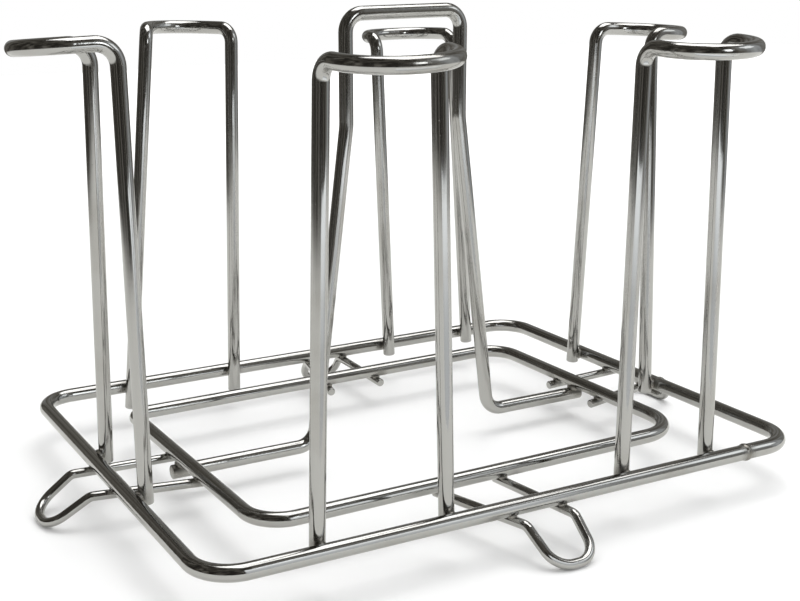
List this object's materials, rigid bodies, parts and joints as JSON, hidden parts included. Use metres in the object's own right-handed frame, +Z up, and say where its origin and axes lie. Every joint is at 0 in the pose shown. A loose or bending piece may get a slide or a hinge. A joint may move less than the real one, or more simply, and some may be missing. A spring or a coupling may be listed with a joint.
{
  "type": "cup rack",
  "caption": "Free-standing rack of bent, chrome-plated steel wire: a double ring on loop feet, upright holders that drying cups hang over, and a tall carrying handle.",
  "frame": {"origin": "middle of the rack's bounding box at the level of the table it stands on", "axes": "+X along the long sides of the rings, +Y to the back, +Z up"},
  "size_m": [0.2669, 0.2092, 0.1655],
  "materials": {
    "chrome_wire": "bright chrome plate on drawn steel wire, mirror-like, with faint lengthwise drawing lines, fine scratches and a slightly warm tint",
    "weld": "plated weld metal, darker, rough and slightly stained"
  },
  "bodies": {
    "root": {"carry_handle": "chrome_wire", "carry_handle_welds": "weld", "foot_back": "chrome_wire", "foot_back_welds": "weld", "foot_front": "chrome_wire", "foot_front_welds": "weld", "foot_left": "chrome_wire", "foot_left_welds": "weld", "foot_right": "chrome_wire", "foot_right_welds": "weld", "holder_back_left": "chrome_wire", "holder_back_left_welds": "weld", "holder_back_right": "chrome_wire", "holder_back_right_welds": "weld", "holder_front_left": "chrome_wire", "holder_front_left_welds": "weld", "holder_front_right": "chrome_wire", "holder_front_right_welds": "weld", "holder_left": "chrome_wire", "holder_left_welds": "weld", "holder_right": "chrome_wire", "holder_right_welds": "weld", "inner_ring": "chrome_wire", "outer_ring": "chrome_wire", "outer_ring_butt_weld": "weld"}
  },
  "joints": []
}
